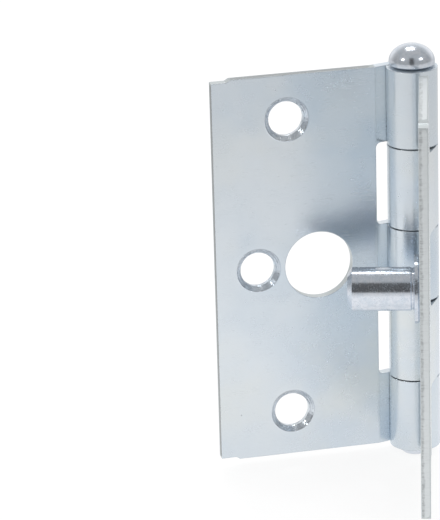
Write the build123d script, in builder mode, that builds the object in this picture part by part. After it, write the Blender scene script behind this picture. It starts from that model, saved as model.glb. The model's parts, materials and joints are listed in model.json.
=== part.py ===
from build123d import *
from math import acos, atan2, degrees, hypot, sqrt
import os

# Steel butt hinge with a loose pin and a locking stud. Each leaf is one punched and rolled sheet.
# The origin is on the back of the frame leaf, midway between its two outer screw holes. +Z runs up
# the pin, +Y goes into the door frame, and the pin lies on the +X side of the frame leaf.

# Leaves
leaf_height = 76.0  # along the pin
leaf_width = 38.3  # pin axis to free edge
sheet = 1.8
closed_gap = 2.7  # between the leaves when the door is shut
open_angle = 73.5  # between the leaves as they stand

# Knuckles, from the bottom: frame, door, frame, door, frame
pin_radius = 3.0
pin_play = 0.05  # all round the pin
bottom_knuckle = 14.4
door_knuckle = 16.05
middle_knuckle = 14.45
knuckle_gap = 0.25  # between one knuckle and the next
roll_gap = 0.1  # between the end of the roll and the sheet that it meets
notch_clearance = 1.9  # from the other leaf's knuckle to the bottom of its notch
notch_corner = 1.0

# Neck: the sheet leaves the barrel straight, at a slant, and one bend turns it into the plate
bend_from_pin = 7.0
bend_radius = 1.8

# Shear steps at the corners of the free edge
step_width = 3.6
step_depth = 0.45
step_slope = 0.7  # of that width, where the edge slants down

# Screw holes
screw_from_pin = 24.0
screw_spacing = 58.7
screw_hole_radius = 3.35
countersink_radius = 4.2
countersink_angle = 90.0

# Locking stud and the hole that it swings into
stud_from_pin = 17.7
hole_from_pin = 18.3
stud_radius = 4.1
stud_reach = 13.5  # from the leaf's face to the tip
swing_clearance = 0.35  # between the stud's corner and the far edge of the hole, as the door shuts
hole_web = 1.0  # between that hole and the middle screw's countersink
tip_length = 0.85
tip_taper = 1.2
flange_radius = 6.45
flange_foot = 0.35  # the bevel beside the leaf
flange_rim = 1.0  # thickness at the rim
flange_thickness = 1.3  # thickness at the stud
groove_width = 0.25
groove_depth = 0.2
rivet_radius = 2.6
rivet_flare = 0.8  # how much wider the rivet is at the back of the leaf
rivet_play = 0.02

# Pin head and tip
head_seat = 0.45  # how far the head's underside stands out from the pin
head_overhang = 1.35  # the same at the head's rim
head_lip_height = 0.45  # from the barrel's top to the rim's lower edge
head_lip_chamfer = 0.15
head_rim_height = 1.0  # from the barrel's top to the rim's upper edge
head_dome_height = 3.35
pin_tip = 1.7  # that stands out of the bottom knuckle
pin_tip_chamfer = 0.6

bore_radius = pin_radius + pin_play
barrel_radius = bore_radius + sheet
notch_depth = barrel_radius + notch_clearance
face_offset = closed_gap / 2  # pin axis to a leaf's inner face
pin_x = screw_from_pin
pin_y = -(face_offset + sheet)
bottom = -leaf_height / 2
top = leaf_height / 2

# The roll starts where the slant touches it, and goes on until its outer corner nearly meets the slant
plate_offset = face_offset + sheet / 2
centre_radius = bore_radius + sheet / 2  # middle line of the rolled sheet
touch_angle = acos(centre_radius / hypot(bend_from_pin, plate_offset))
roll_start = degrees(atan2(plate_offset, bend_from_pin) + touch_angle)
roll_sweep = 360 - degrees(acos((bore_radius - roll_gap) / barrel_radius))

# The hole ends just outside the circle that the stud's corner runs on
stud_swing = hypot(stud_from_pin + stud_radius, stud_reach - tip_length - face_offset)
stud_hole_radius = stud_swing + swing_clearance - hole_from_pin
middle_screw_from_pin = hole_from_pin + stud_hole_radius + hole_web + countersink_radius

# Heights of the seams between the knuckles
seams = [bottom + bottom_knuckle]
for length in (door_knuckle, middle_knuckle, door_knuckle):
    seams.append(seams[-1] + length)


def across_pin(turn, height=0.0):
    """A level plane centred on the pin, with its x axis along a leaf turned by this much."""
    along_leaf = Vector(-1, 0, 0).rotate(Axis.Z, turn)
    return Plane(origin=(pin_x, pin_y, height), x_dir=along_leaf, z_dir=(0, 0, 1))


def on_inner_face(turn, back, from_pin=0.0):
    """The inner face of a leaf at half height: x runs away from the pin and z points out of the face."""
    level = across_pin(turn)
    return Plane(
        origin=level.from_local_coords((from_pin, back * face_offset, 0)),
        x_dir=level.x_dir,
        z_dir=-back * level.y_dir,
    )


def rolled_leaf(turn, back, notches):
    """One leaf: back is +1 or -1, the side that it is fixed by, and notches are (low, high) pairs."""
    face = on_inner_face(turn, back)
    up = 1 if face.y_dir.Z > 0 else -1  # which way the face's own y axis runs
    touch = Vector(centre_radius, 0).rotate(Axis.Z, back * roll_start)
    with BuildPart() as leaf:
        # The middle line of the sheet, from the free edge to the end of the roll
        with BuildSketch(across_pin(turn, bottom)):
            with BuildLine():
                FilletPolyline(
                    (leaf_width, back * plate_offset),
                    (bend_from_pin, back * plate_offset),
                    touch,
                    radius=bend_radius,
                )
                CenterArc((0, 0), centre_radius, back * roll_start, back * roll_sweep)
            trace(line_width=sheet)
        extrude(amount=leaf_height)
        # Notches for the other leaf's knuckles
        with BuildSketch(face):
            for low, high in notches:
                with Locations((0, up * (low + high) / 2)):
                    RectangleRounded(2 * notch_depth, high - low, notch_corner)
        extrude(amount=2 * barrel_radius, both=True, mode=Mode.SUBTRACT)
        # Shear steps at the two corners of the free edge
        with BuildSketch(face):
            with Locations((leaf_width, bottom), (leaf_width, top)):
                Polygon(
                    (-step_width, 0),
                    (step_slope - step_width, step_depth),
                    (step_width, step_depth),
                    (step_width, -step_depth),
                    (step_slope - step_width, -step_depth),
                    align=None,
                )
        extrude(amount=-sheet, mode=Mode.SUBTRACT)
        # Screw holes
        with Locations(face):
            with Locations(
                (screw_from_pin, screw_spacing / 2),
                (screw_from_pin, -screw_spacing / 2),
                (middle_screw_from_pin, 0),
            ):
                CounterSinkHole(
                    radius=screw_hole_radius,
                    counter_sink_radius=countersink_radius,
                    counter_sink_angle=countersink_angle,
                    depth=sheet,
                )
    return leaf.part


# Frame leaf: top, middle and bottom knuckles, and the hole that the stud locks into
half_gap = knuckle_gap / 2
frame_notches = [
    (seams[0] - half_gap, seams[1] + half_gap),
    (seams[2] - half_gap, seams[3] + half_gap),
]
with BuildPart() as frame_leaf:
    add(rolled_leaf(0, -1, frame_notches))
    with Locations(on_inner_face(0, -1, hole_from_pin)):
        Hole(radius=stud_hole_radius, depth=sheet)
frame_leaf.part.label = "frame_leaf"

# Door leaf: the two knuckles between, and a hole flared at the back for the stud's rivet
door_notches = [
    (seams[3] - half_gap, top + notch_depth),
    (seams[1] - half_gap, seams[2] + half_gap),
    (bottom - notch_depth, seams[0] + half_gap),
]
stud_base = on_inner_face(open_angle, 1, stud_from_pin)
stud_axis = Axis(stud_base.origin, stud_base.z_dir)
stud_section = Plane(origin=stud_base.origin, x_dir=stud_base.x_dir, z_dir=-stud_base.y_dir)
rivet_hole_radius = rivet_radius + rivet_play
with BuildPart() as door_leaf:
    add(rolled_leaf(open_angle, 1, door_notches))
    with BuildSketch(stud_section):
        Polygon(
            (0, 0),
            (rivet_hole_radius, 0),
            (rivet_hole_radius, -sheet + rivet_flare),
            (rivet_hole_radius + rivet_flare, -sheet),
            (0, -sheet),
            align=None,
        )
    revolve(axis=stud_axis, mode=Mode.SUBTRACT)
door_leaf.part.label = "door_leaf"

# Locking stud: turned, with a coned flange on the leaf's face and its shank riveted into the leaf
groove_end = flange_thickness + groove_width
groove_radius = stud_radius - groove_depth
with BuildPart() as security_stud:
    with BuildSketch(stud_section):
        Polygon(
            (0, -sheet),
            (rivet_radius + rivet_flare, -sheet),
            (rivet_radius, -sheet + rivet_flare),
            (rivet_radius, 0),
            (flange_radius - flange_foot, 0),
            (flange_radius, flange_foot),
            (flange_radius, flange_rim),
            (groove_radius, flange_thickness),
            (groove_radius, groove_end),
            (stud_radius, groove_end + groove_depth),
            (stud_radius, stud_reach - tip_length),
            (stud_radius - tip_taper, stud_reach),
            (0, stud_reach),
            align=None,
        )
    revolve(axis=stud_axis)
security_stud.part.label = "security_stud"

# Loose pin: turned, with a domed head that sits on the top knuckle
head_radius = pin_radius + head_overhang
lip_height = top + head_lip_height
rim_height = top + head_rim_height
crown = rim_height + head_dome_height
tip_end = bottom - pin_tip
with BuildPart() as hinge_pin:
    with BuildSketch(Plane(origin=(pin_x, pin_y, 0), x_dir=(1, 0, 0), z_dir=(0, -1, 0))):
        with BuildLine():
            Polyline(
                (0, crown),
                (0, tip_end),
                (pin_radius - pin_tip_chamfer, tip_end),
                (pin_radius, tip_end + pin_tip_chamfer),
                (pin_radius, top),
                (pin_radius + head_seat, top),
                (head_radius - head_lip_chamfer, lip_height),
                (head_radius, lip_height + head_lip_chamfer),
                (head_radius, rim_height),
            )
            # A quarter of an ellipse
            Bezier((head_radius, rim_height), (head_radius, crown), (0, crown), weights=(1, sqrt(0.5), 1))
        make_face()
    revolve(axis=Axis((pin_x, pin_y, 0), (0, 0, 1)))
hinge_pin.part.label = "hinge_pin"

os.makedirs("parts", exist_ok=True)
export_step(frame_leaf.part, "parts/frame_leaf.step")
export_step(door_leaf.part, "parts/door_leaf.step")
export_step(hinge_pin.part, "parts/hinge_pin.step")
export_step(security_stud.part, "parts/security_stud.step")
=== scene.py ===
import json
import math
import bpy
from mathutils import Matrix, Vector


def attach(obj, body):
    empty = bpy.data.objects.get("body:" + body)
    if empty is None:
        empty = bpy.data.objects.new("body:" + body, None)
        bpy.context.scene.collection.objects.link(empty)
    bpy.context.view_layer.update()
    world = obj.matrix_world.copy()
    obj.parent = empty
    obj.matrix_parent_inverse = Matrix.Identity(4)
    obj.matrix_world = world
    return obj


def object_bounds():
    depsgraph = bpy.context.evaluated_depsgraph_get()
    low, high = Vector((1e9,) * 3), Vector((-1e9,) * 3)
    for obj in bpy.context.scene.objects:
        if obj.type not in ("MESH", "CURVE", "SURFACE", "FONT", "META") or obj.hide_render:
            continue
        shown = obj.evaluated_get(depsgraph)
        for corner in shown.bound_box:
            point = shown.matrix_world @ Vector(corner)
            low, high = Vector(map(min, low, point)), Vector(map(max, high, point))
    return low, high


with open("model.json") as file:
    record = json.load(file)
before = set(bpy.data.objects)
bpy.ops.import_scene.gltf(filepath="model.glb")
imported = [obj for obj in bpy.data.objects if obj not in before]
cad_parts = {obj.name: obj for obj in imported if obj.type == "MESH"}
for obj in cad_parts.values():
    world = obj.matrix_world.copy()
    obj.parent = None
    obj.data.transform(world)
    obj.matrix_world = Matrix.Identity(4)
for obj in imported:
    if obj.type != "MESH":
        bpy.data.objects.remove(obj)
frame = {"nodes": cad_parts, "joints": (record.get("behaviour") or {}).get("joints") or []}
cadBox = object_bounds()
print("frame loaded", sorted(frame["nodes"]))

mm = 0.001
swing = next(j for j in frame["joints"] if j["name"] == "leaf_swing")
pinFoot = Vector(swing["pos_m"])  # on the pin's axis at half height
shutTurn = -swing["range_deg"][0]  # degrees from the frame leaf to the door leaf, as they stand
floorHeight = cadBox[0].z

# Both leaves come from one blank; millimetres from the pin's axis, at half height
blank = {
    "freeEdge": 38.3,
    "innerFace": 1.35,
    "backFace": 3.15,
    "halfHeight": 38.0,
    "stepHeight": 0.45,  # what the shear took off each corner
    "stepWidth": 3.6,
    "flatStart": 7.4,
    "screws": ((24.0, 29.35), (24.0, -29.35), (30.1, 0.0)),
    "screwRadius": 3.35,
    "sinkRadius": 4.2,
}


# Shader helpers

class Socket:
    # One node output that takes part in ordinary arithmetic
    def __init__(self, graph, out):
        self.graph = graph
        self.out = out

    def maths(self, operation, a, b):
        return self.graph.node("ShaderNodeMath", {"operation": operation}, {0: a, 1: b})

    def __add__(self, other):
        return self.maths("ADD", self, other)

    def __radd__(self, other):
        return self.maths("ADD", other, self)

    def __sub__(self, other):
        return self.maths("SUBTRACT", self, other)

    def __rsub__(self, other):
        return self.maths("SUBTRACT", other, self)

    def __mul__(self, other):
        return self.maths("MULTIPLY", self, other)

    def __rmul__(self, other):
        return self.maths("MULTIPLY", other, self)

    def __abs__(self):
        return self.maths("ABSOLUTE", self, 0.0)

    def least(self, other):
        return self.maths("MINIMUM", self, other)

    def most(self, other):
        return self.maths("MAXIMUM", self, other)

    def sine(self):
        return self.maths("SINE", self, 0.0)


class Graph:
    def __init__(self, tree):
        self.tree = tree
        self.tree.nodes.clear()

    def node(self, kind, settings=None, inputs=None, output=0):
        made = self.tree.nodes.new(kind)
        for name, value in (settings or {}).items():
            setattr(made, name, value)
        for name, value in (inputs or {}).items():
            if isinstance(value, Socket):
                self.tree.links.new(value.out, made.inputs[name])
            else:
                made.inputs[name].default_value = value
        if not made.outputs:
            return made
        return Socket(self, made.outputs[output])

    def mixColour(self, factor, a, b):
        return self.node("ShaderNodeMix", {"data_type": "RGBA"}, {0: factor, 6: a, 7: b}, 2)

    def smooth(self, value, low, high):
        # 0 below low, 1 above high, and a soft step between
        settings = {"interpolation_type": "SMOOTHSTEP"}
        inputs = {"Value": value, "From Min": low, "From Max": high}
        return self.node("ShaderNodeMapRange", settings, inputs)

    def noise(self, vector, size, detail=2.0, roughness=0.5):
        inputs = {"Vector": vector, "Scale": 1 / size, "Detail": detail, "Roughness": roughness}
        return self.node("ShaderNodeTexNoise", None, inputs)

    def placed(self, vector, location=(0, 0, 0), rotation=(0, 0, 0), scale=(1, 1, 1)):
        inputs = {"Vector": vector, "Location": location, "Rotation": rotation, "Scale": scale}
        return self.node("ShaderNodeMapping", None, inputs)

    def distance(self, vector, point):
        return self.node("ShaderNodeVectorMath", {"operation": "DISTANCE"}, {0: vector, 1: point}, 1)

    def part(self, vector, axis):
        return self.node("ShaderNodeSeparateXYZ", None, {"Vector": vector}, "XYZ".index(axis))


def newMaterial(name):
    material = bpy.data.materials.new(name)
    material.use_nodes = True
    return material, Graph(material.node_tree)


def onLeaf(g, turn):
    # Millimetres from the pin's middle, with the leaf along -X; turn is its angle round the pin
    place = g.node("ShaderNodeTexCoord", None, None, 3)
    rotation = (0, 0, math.radians(turn))
    inputs = {"Vector": place, "Location": pinFoot, "Rotation": rotation, "Scale": (mm, mm, mm)}
    return g.node("ShaderNodeMapping", {"vector_type": "TEXTURE"}, inputs)


def scratches(g, place, lay, length, width):
    # Short thin marks that all run one way, lay; their rough length and width are in millimetres
    turned = g.placed(place, (length, 0, lay), (0, lay, 0), (1 / length, 0, 1 / width))
    return g.smooth(g.noise(turned, 1.0, 1.0), 0.66, 0.74)


def pits(g, place, spacing, radius):
    distance = g.node("ShaderNodeTexVoronoi", None, {"Vector": place, "Scale": 1 / spacing})
    return 1 - g.smooth(distance, 0.4 * radius / spacing, radius / spacing)


def finishMetal(g, colour, roughness, height, edgeRound):
    # height and edgeRound are in millimetres
    edge = g.node("ShaderNodeBevel", {"samples": 4}, {"Radius": edgeRound * mm})
    inputs = {"Strength": 1.0, "Distance": mm, "Height": height, "Normal": edge}
    bump = g.node("ShaderNodeBump", None, inputs)
    inputs = {"Base Color": colour, "Metallic": 1.0, "Roughness": roughness, "Normal": bump}
    surface = g.node("ShaderNodeBsdfPrincipled", None, inputs)
    g.node("ShaderNodeOutputMaterial", None, {"Surface": surface})


# Leaves: bright zinc plating on cold-rolled sheet, with countersinks cut before the plating

leafFinish = {
    "zinc": (0.745, 0.80, 0.85, 1),
    "blue": (0.54, 0.655, 0.775, 1),  # where the passivation is thicker; it is also painted in more towards the top and on the barrel, as painted shade
    "straw": (0.79, 0.815, 0.80, 1),  # where it is thinner; it is painted in less towards the top, as painted shade
    "punched": (0.60, 0.64, 0.65, 1),  # on the walls of the holes and notches
    "darkMarksAndShade": (0.30, 0.33, 0.37, 1),
    "pitDark": 0.8,  # how dark the pits and the scratches are painted, and how much painted shade the countersinks get
    "scratchDark": 0.06,
    "sinkShade": 0.45,
    "barrelShade": 0.15,  # how much bluer and darker the barrel is painted than the plate, as painted shade
    "barrelEnd": (5.0, 6.5),  # distances from the pin's axis between which that fades
    "topShadeHeights": (-20, 15),  # heights between which the plate is painted bluer and darker, as painted shade towards the top
    "blueRange": (0.42, 0.68),  # values of the noise between which each of these sets in
    "strawRange": (0.45, 0.7),
    "pitRange": (0.5, 0.6),
    "scratchRange": (0.4, 0.6),
    "sinkShadeRange": (0.48, 0.62),
    "roughness": 0.26,
    "cutRoughness": 0.2,  # in the countersinks
    "punchedRoughness": 0.4,
    "cloudRoughness": 0.12,  # how much each of these adds to the roughness
    "mottleRoughness": 0.08,
    "scratchRoughness": 0.04,
    "wornRoughness": -0.04,  # round the countersinks
    "endRoughness": 0.3,  # on the ends of the barrel
    "scratches": ((0.25, 7.0, 0.12), (-0.5, 4.0, 0.1), (1.3, 5.0, 0.1)),  # lay in radians, length, width
    "cloud": 24,  # sizes are in millimetres from here on
    "mottle": 2.2,
    "grain": 0.5,
    "pitSpacing": 4.5,
    "pitRadius": 0.22,
    "toolPitch": 0.3,  # between the cutter's marks in the countersinks
    "chatter": 0.8,  # size of the marks where the cutter jumped
    "edgeRound": 0.2,
    "waveHeight": 0.05,  # how far the sheet is from flat
    "mottleHeight": 0.006,
    "grainHeight": 0.0025,
    "pitDepth": 0.008,
    "scratchDepth": 0.001,
    "toolHeight": 0.006,
    "chatterHeight": 0.06,
    "lipHeight": 0.02,
}


def leafMaterial(name, turn, blueShare, strawShare):
    f = leafFinish
    material, g = newMaterial(name)
    place = onLeaf(g, turn)
    cloud = g.noise(place, f["cloud"], 3.0)
    patch = g.noise(g.placed(place, (90, 0, 40)), f["cloud"], 4.0, 0.6)
    mottle = g.noise(place, f["mottle"], 3.0)
    grain = g.noise(g.placed(place, scale=(0.12, 1, 1)), f["grain"], 3.0)
    spots = pits(g, place, f["pitSpacing"], f["pitRadius"]) * g.smooth(patch, *f["pitRange"])
    marks = None
    for lay, length, width in f["scratches"]:
        run = scratches(g, place, lay, length, width)
        marks = run if marks is None else marks.most(run)
    marks = marks * g.smooth(mottle, *f["scratchRange"])

    # Distance to the nearest screw hole's axis, and its cone, its lip and the worn ring round it
    flat = g.placed(place, scale=(1, 0, 1))
    nearest = None
    for fromPin, height in blank["screws"]:
        away = g.distance(flat, (-fromPin, 0, height))
        nearest = away if nearest is None else nearest.least(away)
    sink = blank["sinkRadius"]
    depth = abs(g.part(place, "Y"))
    inSheet = 1 - g.smooth(depth, blank["backFace"] - 0.06, blank["backFace"] - 0.02)
    cone = (1 - g.smooth(nearest, sink - 0.02, sink + 0.02)) * inSheet
    lip = 1 - g.smooth(abs(nearest - (sink + 0.08)), 0.03, 0.1)
    worn = 1 - g.smooth(nearest, sink + 0.1, sink + 1.8)
    tool = (nearest * (2 * math.pi / f["toolPitch"])).sine()
    chatter = g.noise(g.placed(place, (0, 50, 0)), f["chatter"], 3.0, 0.6)

    # Walls of the holes and notches in the plate, and the ends of the barrel
    onPlate = g.smooth(abs(g.part(place, "X")), blank["flatStart"] - 0.8, blank["flatStart"] - 0.6)
    belowFace = g.smooth(depth, blank["innerFace"] + 0.02, blank["innerFace"] + 0.1)
    wall = belowFace * inSheet * onPlate * (1 - cone)
    rollEnd = g.smooth(abs(g.part(place, "Z")), blank["halfHeight"] - 0.05, blank["halfHeight"] - 0.01)

    # The plating is bluer in patches; towards the top and on the barrel it is painted bluer and darker, as
    # painted shade
    upper = g.smooth(g.part(place, "Z"), *f["topShadeHeights"])
    fromAxis = g.distance(g.placed(place, scale=(1, 1, 0)), (0, 0, 0))
    barrel = 1 - g.smooth(fromAxis, *f["barrelEnd"])
    blue = g.smooth(cloud, *f["blueRange"]) * (0.4 + 0.6 * upper) * blueShare
    straw = g.smooth(patch, *f["strawRange"]) * (1 - 0.4 * upper) * strawShare
    colour = g.mixColour(blue, f["zinc"], f["blue"])
    # Painted shade: the barrel is painted bluer and darker than the plate
    colour = g.mixColour(barrel * f["barrelShade"], colour, f["blue"])
    colour = g.mixColour(straw, colour, f["straw"])
    colour = g.mixColour(spots * f["pitDark"], colour, f["darkMarksAndShade"])
    colour = g.mixColour(marks * f["scratchDark"], colour, f["darkMarksAndShade"])
    # Painted shade in the countersinks: they are darkened in patches where the chatter noise is high
    colour = g.mixColour(cone * g.smooth(chatter, *f["sinkShadeRange"]) * f["sinkShade"], colour, f["darkMarksAndShade"])
    colour = g.mixColour(wall, colour, f["punched"])

    roughness = f["roughness"] + f["cloudRoughness"] * (cloud - 0.5) + f["mottleRoughness"] * (mottle - 0.5)
    roughness = roughness + f["scratchRoughness"] * marks + f["wornRoughness"] * worn
    roughness = roughness + cone * (f["cutRoughness"] - f["roughness"])
    roughness = roughness + wall * (f["punchedRoughness"] - f["roughness"]) + f["endRoughness"] * rollEnd

    height = f["grainHeight"] * grain + f["mottleHeight"] * mottle + f["waveHeight"] * cloud
    height = height - f["pitDepth"] * spots - f["scratchDepth"] * marks
    height = height + cone * (f["toolHeight"] * tool + f["chatterHeight"] * chatter)
    height = height + f["lipHeight"] * lip * (1 - cone)
    finishMetal(g, colour, roughness, height, f["edgeRound"])
    return material


# Sheared edges: a polished band next to the back, and torn metal next to the face

edgeFinish = {
    "frame": (0.38, 0.40, 0.41, 1),  # the polished band on the frame leaf, painted darker than on the door leaf as painted shade
    "door": (0.75, 0.785, 0.80, 1),
    "torn": (0.44, 0.465, 0.475, 1),
    "dirtRange": (0.5, 0.68),  # values of the noise between which dirt and streaks set in
    "streakRange": (0.5, 0.62),
    "roughness": 0.42,
    "tornRoughness": 0.55,
    "stripe": 0.3,  # width of the streaks that the punch drew; sizes are in millimetres from here on
    "stripeHeight": 0.012,
    "lump": 0.5,
    "lumpHeight": 0.05,
    "tearEnd": (0.45, 0.8),  # depths under the leaf's face between which the tear ends
    "wander": 0.9,  # how far that border wanders
    "edgeRound": 0.05,
}


def edgeMaterial(name, turn, polished):
    f = edgeFinish
    material, g = newMaterial(name)
    place = onLeaf(g, turn)
    streak = g.noise(g.placed(place, scale=(1, 0.12, 1)), f["stripe"], 2.0)
    lump = g.noise(place, f["lump"], 3.0, 0.65)
    border = f["wander"] * (g.noise(g.placed(place, scale=(1, 0.3, 1)), 1.6, 3.0) - 0.5)
    depth = abs(g.part(place, "Y")) - border
    low, high = f["tearEnd"]
    torn = 1 - g.smooth(depth, blank["innerFace"] + low, blank["innerFace"] + high)
    dirt = torn * g.smooth(lump, *f["dirtRange"])
    # The polished band's tone, f[polished], is painted darker on the frame leaf as painted shade
    colour = g.mixColour(torn * 0.25 + 0.5 * dirt, f[polished], f["torn"])
    colour = g.mixColour(g.smooth(streak, *f["streakRange"]) * (0.12 + 0.55 * torn), colour, f["torn"])
    roughness = f["roughness"] + (f["tornRoughness"] - f["roughness"]) * torn
    height = f["stripeHeight"] * streak * (1 - torn) + f["lumpHeight"] * lump * torn
    finishMetal(g, colour, roughness, height, f["edgeRound"])
    return material


# Pin, stud and cutter marks: turned steel with the same plating

turnedFinish = {
    "zinc": (0.76, 0.80, 0.865, 1),
    "dull": (0.58, 0.63, 0.71, 1),
    "blue": (0.60, 0.69, 0.78, 1),
    "blueShare": 0.4,  # how strongly blue, dull patches and pits show
    "dullShare": 0.4,
    "pitShare": 0.5,
    "blueRange": (0.46, 0.58),  # values of the noise between which each of these sets in
    "dullRange": (0.48, 0.62),
    "pitRange": (0.45, 0.55),
    "fleckRange": (0.5, 0.68),
    "roughness": 0.18,
    "blotchRoughness": 0.2,  # how much each of these adds to the roughness
    "cloudRoughness": 0.05,
    "mottle": 0.55,  # sizes are in millimetres from here on
    "blotch": 1.5,
    "fleck": 0.3,
    "cloud": 6,
    "pitSpacing": 1.6,
    "pitRadius": 0.12,
    "pitDepth": 0.005,
    "toolMark": 0.12,
    "toolHeight": 0.0012,
    "edgeRound": 0.08,
}


def turnedMaterial(name, turn, lying, grit, speckle):
    # lying is true where the axis is level, as the stud's and the countersinks' are; grit is how coarse
    # the surface is, in millimetres, and speckle how much rougher it is in small spots
    f = turnedFinish
    material, g = newMaterial(name)
    place = onLeaf(g, turn)
    alongAxis = (0.03, 1, 0.03) if lying else (0.03, 0.03, 1)
    cuts = g.noise(g.placed(place, scale=alongAxis), f["toolMark"], 2.0)
    mottle = g.noise(place, f["mottle"], 4.0, 0.65)
    cloud = g.noise(place, f["cloud"], 2.0)
    spots = pits(g, place, f["pitSpacing"], f["pitRadius"]) * g.smooth(mottle, *f["pitRange"])
    blotch = g.noise(g.placed(place, (0, 0, 30)), f["blotch"], 3.0, 0.6)
    fleck = g.smooth(g.noise(g.placed(place, (30, 0, 0)), f["fleck"], 2.0), *f["fleckRange"])
    colour = g.mixColour(g.smooth(blotch, *f["blueRange"]) * f["blueShare"], f["zinc"], f["blue"])
    colour = g.mixColour(g.smooth(mottle, *f["dullRange"]) * f["dullShare"], colour, f["dull"])
    colour = g.mixColour(spots * f["pitShare"], colour, f["dull"])
    roughness = f["roughness"] + f["blotchRoughness"] * (blotch - 0.5) + f["cloudRoughness"] * (cloud - 0.5)
    roughness = roughness + speckle * fleck
    height = grit * mottle + f["toolHeight"] * cuts - f["pitDepth"] * spots
    finishMetal(g, colour, roughness, height, f["edgeRound"])
    return material


def dress(node, material):
    piece = frame["nodes"][node]
    piece.data.materials.clear()
    piece.data.materials.append(material)


dress("frame_leaf", leafMaterial("zincFrameLeaf", 0, 0.7, 0.6))
dress("door_leaf", leafMaterial("zincDoorLeaf", shutTurn, 0.2, 0.9))
dress("hinge_pin", turnedMaterial("zincPin", 0, False, 0.01, 0.05))
dress("security_stud", turnedMaterial("zincStud", shutTurn, True, 0.004, 0.1))
print("pieces dressed")


# Relief that stands on the leaves: torn edges, and the cutter's spiral in each countersink

class Build:
    # A Geometry Nodes tree with named inputs
    def __init__(self, name, sizes):
        self.tree = bpy.data.node_groups.new(name, "GeometryNodeTree")
        self.sizes = sizes
        self.tree.interface.new_socket("Geometry", in_out="INPUT", socket_type="NodeSocketGeometry")
        for label, value in sizes.items():
            kind = "NodeSocketInt" if isinstance(value, int) else "NodeSocketFloat"
            self.tree.interface.new_socket(label, in_out="INPUT", socket_type=kind)
        self.tree.interface.new_socket("Geometry", in_out="OUTPUT", socket_type="NodeSocketGeometry")
        self.start = self.tree.nodes.new("NodeGroupInput")

    def node(self, kind, settings=None, inputs=None):
        made = self.tree.nodes.new(kind)
        for name, value in (settings or {}).items():
            setattr(made, name, value)
        for name, value in (inputs or {}).items():
            if isinstance(value, bpy.types.NodeSocket):
                self.tree.links.new(value, made.inputs[name])
            else:
                made.inputs[name].default_value = value
        return made

    def size(self, label):
        return self.start.outputs[label]

    def maths(self, operation, a, b=0.0):
        return self.node("ShaderNodeMath", {"operation": operation}, {0: a, 1: b}).outputs[0]

    def finish(self, geometry, material):
        whole = self.node("GeometryNodeRealizeInstances", None, {"Geometry": geometry})
        inputs = {"Geometry": whole.outputs[0], "Material": material}
        dressed = self.node("GeometryNodeSetMaterial", None, inputs)
        self.node("NodeGroupOutput", None, {"Geometry": dressed.outputs[0]})

    def apply(self, name, base):
        # The tree's result on a base mesh, as a plain mesh object
        piece = bpy.data.objects.new(name, base)
        bpy.context.scene.collection.objects.link(piece)
        modifier = piece.modifiers.new("build", "NODES")
        modifier.node_group = self.tree
        for socket in self.tree.interface.items_tree:
            if socket.in_out == "INPUT" and socket.name in self.sizes:
                modifier[socket.identifier] = self.sizes[socket.name]
        evaluated = piece.evaluated_get(bpy.context.evaluated_depsgraph_get())
        made = bpy.data.meshes.new_from_object(evaluated)
        piece.modifiers.remove(modifier)
        piece.data = made
        return piece


def leafMatrix(turn):
    # From millimetres on a leaf to metres in the frame
    return (Matrix.Translation(pinFoot) @ Matrix.Rotation(math.radians(turn), 4, "Z")
            @ Matrix.Diagonal((mm, mm, mm, 1)))


def seat(piece, body, turn):
    piece.data.transform(leafMatrix(turn))
    for face in piece.data.polygons:
        face.use_smooth = True
    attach(piece, body)


tornEdge = {
    "Level": 3,  # how often each square of the strip is halved
    "Relief": 0.1,  # millimetres, where the metal is torn
    "Streak": 0.02,
    "Sunk": 0.02,  # how far the strip's border lies under the surface
    "Grain": 0.36,
    "Seed": 4.0,
}
edgeSquare = 0.9  # size of the strip's squares before they are halved


def edgeStrips(side):
    # Flat strips on the free edge and on both ends of a leaf; side is the way to its back
    squares = []
    vertices = []
    inside = []

    def strip(start, end, lift):
        # start and end are (along, height) pairs, and lift points out of the edge
        run = Vector(end) - Vector(start)
        count = round(run.length / edgeSquare)
        first = len(vertices)
        for i in range(count + 1):
            along = Vector(start) + run * (i / count)
            for j in range(3):
                depth = side * (blank["innerFace"] + j * (blank["backFace"] - blank["innerFace"]) / 2)
                vertices.append((along.x, depth, along.y))
                inside.append(float(j == 1 and 0 < i < count))
        for i in range(count):
            for j in range(2):
                a = first + 3 * i + j
                face = (a, a + 1, a + 4, a + 3)
                corner = [Vector(vertices[k]) for k in face]
                normal = (corner[1] - corner[0]).cross(corner[2] - corner[0])
                squares.append(face if normal.dot(Vector((lift[0], 0, lift[1]))) > 0 else face[::-1])

    tall = blank["halfHeight"]
    low = tall - blank["stepHeight"]
    free = -blank["freeEdge"]
    stepEnd = free + blank["stepWidth"]
    strip((free, -low), (free, low), (-1, 0))
    strip((stepEnd, tall), (-blank["flatStart"], tall), (0, 1))
    strip((stepEnd, -tall), (-blank["flatStart"], -tall), (0, -1))
    mesh = bpy.data.meshes.new("edgeStrips")
    mesh.from_pydata(vertices, [], squares)
    mark = mesh.attributes.new("inside", "FLOAT", "POINT")
    mark.data.foreach_set("value", inside)
    return mesh


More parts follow.
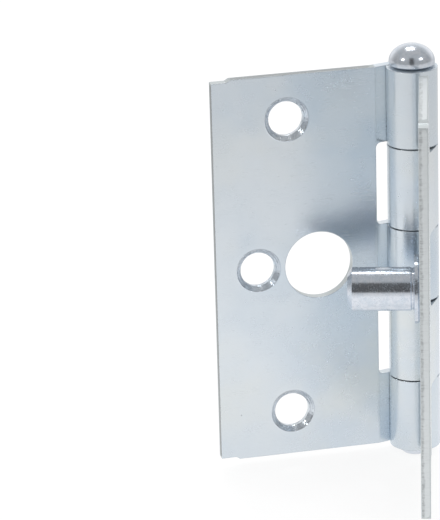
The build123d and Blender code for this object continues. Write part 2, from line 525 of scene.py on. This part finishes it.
def makeTornEdges(name, body, turn, side, material):
    b = Build("tornEdge", tornEdge)
    fine = b.node("GeometryNodeSubdivideMesh", None, {"Mesh": b.size("Geometry"), "Level": b.size("Level")})
    inside = b.node("GeometryNodeInputNamedAttribute", {"data_type": "FLOAT"}, {"Name": "inside"}).outputs[0]
    soft = {"interpolation_type": "SMOOTHSTEP"}
    inputs = {"Value": inside, "From Min": 0.0, "From Max": 0.5}
    rise = b.node("ShaderNodeMapRange", soft, inputs).outputs[0]
    place = b.node("GeometryNodeInputPosition").outputs[0]
    drawn = {"noise_dimensions": "4D"}
    size = b.maths("DIVIDE", 1.0, b.size("Grain"))
    inputs = {"Vector": place, "W": b.size("Seed"), "Scale": size, "Detail": 3.0}
    lump = b.node("ShaderNodeTexNoise", drawn, inputs)
    stretch = {"operation": "MULTIPLY"}
    across = b.node("ShaderNodeVectorMath", stretch, {0: place, 1: (4.0, 0.4, 4.0)}).outputs[0]
    streak = b.node("ShaderNodeTexNoise", drawn, {"Vector": across, "W": b.size("Seed"), "Scale": 1.0})
    split = b.node("ShaderNodeSeparateXYZ", None, {0: place})
    depth = b.maths("ABSOLUTE", split.outputs[1])

    # Full relief next to the leaf's face, and less of it from the middle to the back
    middle = (blank["innerFace"] + blank["backFace"]) / 2
    inputs = {"Value": depth, "From Min": middle - 0.4, "From Max": middle, "To Min": 1.0, "To Max": 0.3}
    torn = b.node("ShaderNodeMapRange", soft, inputs).outputs[0]
    rough = b.maths("MULTIPLY", b.maths("MULTIPLY", lump.outputs[0], torn), b.size("Relief"))
    lines = b.maths("MULTIPLY", streak.outputs[0], b.size("Streak"))
    proud = b.maths("MULTIPLY", b.maths("ADD", rough, lines), rise)
    under = b.maths("MULTIPLY", b.size("Sunk"), b.maths("SUBTRACT", 1.0, rise))
    normal = b.node("GeometryNodeInputNormal").outputs[0]
    inputs = {0: normal, "Scale": b.maths("SUBTRACT", proud, under)}
    lift = b.node("ShaderNodeVectorMath", {"operation": "SCALE"}, inputs)
    moved = b.node("GeometryNodeSetPosition", None, {"Geometry": fine.outputs[0], "Offset": lift.outputs[0]})
    b.finish(moved.outputs[0], material)
    seat(b.apply(name, edgeStrips(side)), body, turn)


makeTornEdges("frame_leaf_torn_edge", "frame_side", 0, 1,
              edgeMaterial("shadedTornFrameEdge", 0, "frame"))
makeTornEdges("door_leaf_torn_edge", "door_side", shutTurn, -1,
              edgeMaterial("tornDoorEdge", shutTurn, "door"))
print("torn edges made")


cutterMarks = {
    "Turns": 3.0,
    "Steps": 48,  # per turn
    "Start radius": blank["sinkRadius"] - 0.12,
    "End radius": blank["screwRadius"] + 0.12,
    "Ridge": 0.05,  # radius of the spiral ridge
    "Lip radius": blank["sinkRadius"] + 0.03,
    "Lip": 0.05,  # radius of the raised lip
    "Sides": 6,
}


def makeCutterMarks(name, body, turn, side, material):
    b = Build("cutterMarks", cutterMarks)

    # The spiral goes down as far as it goes in, because the cone's sides stand at 45 degrees
    fall = b.maths("SUBTRACT", b.size("Start radius"), b.size("End radius"))
    inputs = {"Resolution": b.size("Steps"), "Rotations": b.size("Turns"), "Height": fall,
              "Start Radius": b.size("Start radius"), "End Radius": b.size("End radius")}
    spiral = b.node("GeometryNodeCurveSpiral", None, inputs)
    inputs = {"Resolution": b.size("Sides"), "Radius": b.size("Ridge")}
    ridge = b.node("GeometryNodeCurvePrimitiveCircle", None, inputs)
    inputs = {"Curve": spiral.outputs[0], "Profile Curve": ridge.outputs[0], "Fill Caps": True}
    thread = b.node("GeometryNodeCurveToMesh", None, inputs)
    start = b.maths("SUBTRACT", blank["sinkRadius"], b.size("Start radius"))
    lower = b.node("ShaderNodeCombineXYZ", None, {"Z": start})
    inputs = {"Geometry": thread.outputs[0], "Translation": lower.outputs[0]}
    sunk = b.node("GeometryNodeTransform", None, inputs)

    # The lip is a ring, pressed to half its height
    inputs = {"Resolution": b.size("Steps"), "Radius": b.size("Lip radius")}
    ring = b.node("GeometryNodeCurvePrimitiveCircle", None, inputs)
    inputs = {"Resolution": b.size("Sides"), "Radius": b.size("Lip")}
    bead = b.node("GeometryNodeCurvePrimitiveCircle", None, inputs)
    inputs = {"Curve": ring.outputs[0], "Profile Curve": bead.outputs[0]}
    lip = b.node("GeometryNodeCurveToMesh", None, inputs)
    low = b.node("GeometryNodeTransform", None, {"Geometry": lip.outputs[0], "Scale": (1.0, 1.0, 0.5)})

    both = b.node("GeometryNodeJoinGeometry")
    b.tree.links.new(sunk.outputs[0], both.inputs[0])
    b.tree.links.new(low.outputs[0], both.inputs[0])
    outward = (-side * math.pi / 2, 0, 0)
    inputs = {"Points": b.size("Geometry"), "Instance": both.outputs[0], "Rotation": outward}
    cut = b.node("GeometryNodeInstanceOnPoints", None, inputs)
    b.finish(cut.outputs[0], material)
    centres = [(-fromPin, side * blank["innerFace"], height) for fromPin, height in blank["screws"]]
    base = bpy.data.meshes.new("screwCentres")
    base.from_pydata(centres, [], [])
    seat(b.apply(name, base), body, turn)


makeCutterMarks("frame_leaf_cutter_marks", "frame_side", 0, 1,
                turnedMaterial("cutFrameLeaf", 0, True, 0.02, 0.1))
makeCutterMarks("door_leaf_cutter_marks", "door_side", shutTurn, -1,
                turnedMaterial("cutDoorLeaf", shutTurn, True, 0.02, 0.1))
print("cutter marks made")


# Camera, at the photograph's viewpoint

viewpoint = {
    "azimuth": 12.51,  # degrees that the camera stands to the left of straight on
    "elevation": 19.35,
    "roll": -1.68,
    "distance": 644 * mm,  # to the pin's middle
    "lens": 233.4,
    "aimLeft": 36.96 * mm,  # the picture's centre lies this far left of the pin's middle
    "aimDown": 0.53 * mm,
}


def cameraAxes():
    azimuth = math.radians(viewpoint["azimuth"])
    elevation = math.radians(viewpoint["elevation"])
    roll = math.radians(viewpoint["roll"])
    flat = math.cos(elevation)
    back = Vector((-math.sin(azimuth) * flat, -math.cos(azimuth) * flat, math.sin(elevation)))
    right = Vector((0, 0, 1)).cross(back).normalized()
    up = back.cross(right)
    turnedRight = math.cos(roll) * right + math.sin(roll) * up
    turnedUp = math.cos(roll) * up - math.sin(roll) * right
    return turnedRight, turnedUp, back


def makeCamera():
    right, up, back = cameraAxes()
    stand = pinFoot + back * viewpoint["distance"] - right * viewpoint["aimLeft"] - up * viewpoint["aimDown"]
    data = bpy.data.cameras.new("camera")
    data.lens = viewpoint["lens"]
    data.clip_start = 0.01
    camera = bpy.data.objects.new("camera", data)
    bpy.context.scene.collection.objects.link(camera)
    rotation = Matrix((right, up, back)).transposed().to_4x4()
    camera.matrix_world = Matrix.Translation(stand) @ rotation
    bpy.context.scene.camera = camera


makeCamera()
print("camera placed")


# Studio: a white floor, a grey tent with a dark gap in front, and three soft lamps

studio = {
    "floorSize": 6.0,
    "floorShare": 0.8,  # how much of the floor's white the object's shadow doesn't reach
    "floorNear": 1.0,  # what the metal sees of the floor beside the object
    "floorFar": 0.62,
    "floorLeft": 60 * mm,  # its brightest place lies this far left of the pin
    "floorFade": 0.34,  # how far away from there it is down to floorFar
    "floorSeen": 1.05,  # what the camera sees of the floor
    "front": 0.42,  # what the metal sees of the tent
    "back": 0.95,
    "top": 0.5,
    "backFade": (-0.9, -0.2),  # cosines of the angle from the gap, between which back becomes front
    "topFade": (0.3, 0.9),  # sines of the elevation, between which the wall becomes the top
    "gapShade": 0.8,  # how much darker than the tent its gap is
    "gapAzimuth": 15.8,  # degrees to the left of straight on
    "gapWidth": 10,
    "gapTop": 52,
    "lampAzimuth": 55,  # degrees to each side of the camera
    "lampElevation": 38.6,
    "lampDistance": 0.9,
    "lampSize": (0.09, 0.09),  # width and height
    "lampPower": 0.5,
    "topElevation": 62,
    "topSize": (0.26, 0.22),
    "topPower": 1.4,
}


def fromObject(azimuth, elevation, distance):
    # A place round the object; azimuth is counted from the camera's, to the right
    a = math.radians(azimuth - viewpoint["azimuth"])
    e = math.radians(elevation)
    return distance * Vector((math.sin(a) * math.cos(e), -math.cos(a) * math.cos(e), math.sin(e)))


def softLamp(name, azimuth, elevation, size, power):
    data = bpy.data.lights.new(name, "AREA")
    data.shape = "RECTANGLE"
    data.size, data.size_y = size
    data.energy = power
    lamp = bpy.data.objects.new(name, data)
    bpy.context.scene.collection.objects.link(lamp)
    lamp.location = fromObject(azimuth, elevation, studio["lampDistance"])
    lamp.rotation_mode = "QUATERNION"
    lamp.rotation_quaternion = lamp.location.to_track_quat("Z", "Y")


def makeWorld():
    world = bpy.data.worlds.new("tent")
    bpy.context.scene.world = world
    world.use_nodes = True
    g = Graph(world.node_tree)
    direction = g.node("ShaderNodeTexCoord", None, None, 0)
    dot = {"operation": "DOT_PRODUCT"}
    gapSide = viewpoint["azimuth"] - studio["gapAzimuth"]
    facing = g.node("ShaderNodeVectorMath", dot, {0: direction, 1: fromObject(gapSide, 0, 1)}, 1)
    side = g.node("ShaderNodeVectorMath", dot, {0: direction, 1: fromObject(gapSide + 90, 0, 1)}, 1)
    height = g.part(direction, "Z")
    wall = studio["back"] + (studio["front"] - studio["back"]) * g.smooth(facing, *studio["backFade"])
    tone = wall + (studio["top"] - wall) * g.smooth(height, *studio["topFade"])

    # The gap has soft edges, and goes from the floor up to gapTop
    width = math.sin(math.radians(studio["gapWidth"]))
    ceiling = math.sin(math.radians(studio["gapTop"]))
    gap = (1 - g.smooth(abs(side), 0.7 * width, 1.3 * width)) * g.smooth(facing, 0.1, 0.35)
    gap = gap * g.smooth(height, 0.0, 0.06) * (1 - g.smooth(height, ceiling - 0.04, ceiling + 0.04))
    tone = tone * (1 - studio["gapShade"] * gap)

    # The camera sees plain white, and only the metal's reflections see the tent
    mirrored = g.node("ShaderNodeLightPath", None, None, 3)
    strength = 1 + mirrored * (tone - 1)
    lit = g.node("ShaderNodeBackground", None, {"Color": (1, 1, 1, 1), "Strength": strength})
    g.node("ShaderNodeOutputWorld", None, {"Surface": lit})


def makeFloor():
    half = studio["floorSize"] / 2
    mesh = bpy.data.meshes.new("floor")
    corners = [(-half, -half, floorHeight), (half, -half, floorHeight),
               (half, half, floorHeight), (-half, half, floorHeight)]
    mesh.from_pydata(corners, [], [(0, 1, 2, 3)])
    floor = bpy.data.objects.new("floor", mesh)
    bpy.context.scene.collection.objects.link(floor)
    material, g = newMaterial("paleFloor")
    place = g.node("ShaderNodeTexCoord", None, None, 3)
    away = g.distance(place, (pinFoot.x - studio["floorLeft"], pinFoot.y, floorHeight))
    fade = g.smooth(away, 0.0, studio["floorFade"])
    tone = studio["floorNear"] + (studio["floorFar"] - studio["floorNear"]) * fade
    matte = g.node("ShaderNodeBsdfDiffuse", None, {"Color": (0.9, 0.9, 0.9, 1)})
    seen = g.node("ShaderNodeLightPath", None, None, 0)
    mirrored = g.node("ShaderNodeLightPath", None, None, 3)
    strength = studio["floorSeen"] + mirrored * (tone - studio["floorSeen"])
    white = g.node("ShaderNodeEmission", None, {"Color": (1, 1, 1, 1), "Strength": strength})
    share = (seen + mirrored) * studio["floorShare"]
    surface = g.node("ShaderNodeMixShader", None, {0: share, 1: matte, 2: white})
    g.node("ShaderNodeOutputMaterial", None, {"Surface": surface})
    mesh.materials.append(material)


makeWorld()
makeFloor()
softLamp("leftLamp", -studio["lampAzimuth"], studio["lampElevation"], studio["lampSize"], studio["lampPower"])
softLamp("rightLamp", studio["lampAzimuth"], studio["lampElevation"], studio["lampSize"], studio["lampPower"])
softLamp("topLamp", 180, studio["topElevation"], studio["topSize"], studio["topPower"])
bpy.context.scene.view_settings.view_transform = "Standard"
print("studio lit")
